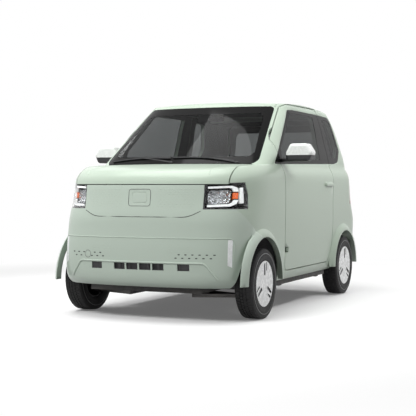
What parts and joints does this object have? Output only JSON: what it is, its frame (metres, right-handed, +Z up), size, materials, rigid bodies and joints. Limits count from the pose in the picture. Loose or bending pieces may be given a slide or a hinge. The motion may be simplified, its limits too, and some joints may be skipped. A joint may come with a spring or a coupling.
{
  "type": "three-door electric microcar",
  "caption": "Short upright microcar with a hollow cabin, hinged doors, bonnet and tailgate, linked steering and freely turning wheels.",
  "frame": {"origin": "on the ground at the middle of the car's length and width", "axes": "+X to the car's left, -Y forwards, +Z up"},
  "size_m": [1.8818, 3.0007, 1.6488],
  "materials": {
    "paint": "gloss metallic",
    "bumper_paint": "gloss metallic",
    "black_trim": "gloss",
    "black_plastic": "grained",
    "glass": "tinted",
    "lens": "clear",
    "lamp": "gloss",
    "red_lamp": "gloss",
    "steel": "painted black",
    "casting": "cast",
    "battery": "satin",
    "wheel_cover": "gloss",
    "tyre": "rubber",
    "seat": "woven",
    "cabin_plastic": "grained",
    "mirror_shell": "gloss",
    "floor": "satin"
  },
  "bodies": {
    "door_left": {"door_left": "paint", "door_trim_left": "black_trim", "door_glass_left": "glass", "mirror_left": "mirror_shell"},
    "door_right": {"door_right": "paint", "door_trim_right": "black_trim", "door_glass_right": "glass", "mirror_right": "mirror_shell"},
    "bonnet": {"bonnet": "paint"},
    "tailgate": {"tailgate": "paint", "tailgate_glass": "glass"},
    "steering_wheel": {"steering_wheel": "cabin_plastic"},
    "knuckle_left": {"knuckle_left": "steel"},
    "knuckle_right": {"knuckle_right": "steel"},
    "wheel_front_left": {"wheel_front_left": "wheel_cover", "tyre_front_left": "tyre"},
    "wheel_front_right": {"wheel_front_right": "wheel_cover", "tyre_front_right": "tyre"},
    "wheel_rear_left": {"wheel_rear_left": "wheel_cover", "tyre_rear_left": "tyre"},
    "wheel_rear_right": {"wheel_rear_right": "wheel_cover", "tyre_rear_right": "tyre"},
    "root": {"fender_left": "paint", "side_frame_left": "paint", "fender_right": "paint", "side_frame_right": "paint", "front_bumper": "bumper_paint", "lower_grille": "black_plastic", "front_panel": "bumper_paint", "headlamps": "lamp", "headlamp_lenses": "lens", "quarter_trim": "black_trim", "quarter_glass": "glass", "windscreen": "glass", "roof": "paint", "rear_bumper": "bumper_paint", "tail_lamps": "red_lamp", "floor_pan": "floor", "cowl": "black_plastic", "dashboard": "cabin_plastic", "front_seat_cushions": "seat", "front_seat_backs": "seat", "rear_seat": "seat", "interior_mirror": "cabin_plastic", "front_suspension": "steel", "rear_axle": "steel", "motor_unit": "casting", "battery_pack": "battery"}
  },
  "joints": [
    {"name": "door_left_hinge", "type": "hinge", "parent": "root", "child": "door_left", "pos_m": [0.731, -0.47, 0.7], "axis": [0, 0, -1], "range_deg": [0, 65]},
    {"name": "door_right_hinge", "type": "hinge", "parent": "root", "child": "door_right", "pos_m": [-0.731, -0.47, 0.7], "axis": [0, 0, 1], "range_deg": [0, 65]},
    {"name": "bonnet_hinge", "type": "hinge", "parent": "root", "child": "bonnet", "pos_m": [0, -0.862, 1.092], "axis": [-1, 0, 0], "range_deg": [0, 50]},
    {"name": "tailgate_hinge", "type": "hinge", "parent": "root", "child": "tailgate", "pos_m": [0, 1.044, 1.59208], "axis": [1, 0, 0], "range_deg": [0, 78]},
    {"name": "steering_wheel_turn", "type": "hinge", "parent": "root", "child": "steering_wheel", "pos_m": [0.33, -0.202, 0.985], "axis": [0, 0.9063, 0.4226], "range_deg": [-512, 512]},
    {"name": "steer_left", "type": "hinge", "parent": "root", "child": "knuckle_left", "pos_m": [0.575, -1.002, 0.254], "axis": [0, 0, 1], "range_deg": [-32, 32]},
    {"name": "steer_right", "type": "hinge", "parent": "root", "child": "knuckle_right", "pos_m": [-0.575, -1.002, 0.254], "axis": [0, 0, 1], "range_deg": [-32, 32]},
    {"name": "wheel_front_left_spin", "type": "hinge", "parent": "knuckle_left", "child": "wheel_front_left", "pos_m": [0.6935, -1.002, 0.254], "axis": [1, 0, 0], "continuous": true},
    {"name": "wheel_front_right_spin", "type": "hinge", "parent": "knuckle_right", "child": "wheel_front_right", "pos_m": [-0.6935, -1.002, 0.254], "axis": [1, 0, 0], "continuous": true},
    {"name": "wheel_rear_left_spin", "type": "hinge", "parent": "root", "child": "wheel_rear_left", "pos_m": [0.6935, 0.936, 0.254], "axis": [1, 0, 0], "continuous": true},
    {"name": "wheel_rear_right_spin", "type": "hinge", "parent": "root", "child": "wheel_rear_right", "pos_m": [-0.6935, 0.936, 0.254], "axis": [1, 0, 0], "continuous": true}
  ],
  "couplings": [
    {"joint": "steer_right", "follows": "steer_left", "ratio": 1},
    {"joint": "steering_wheel_turn", "follows": "steer_left", "ratio": 16}
  ]
}
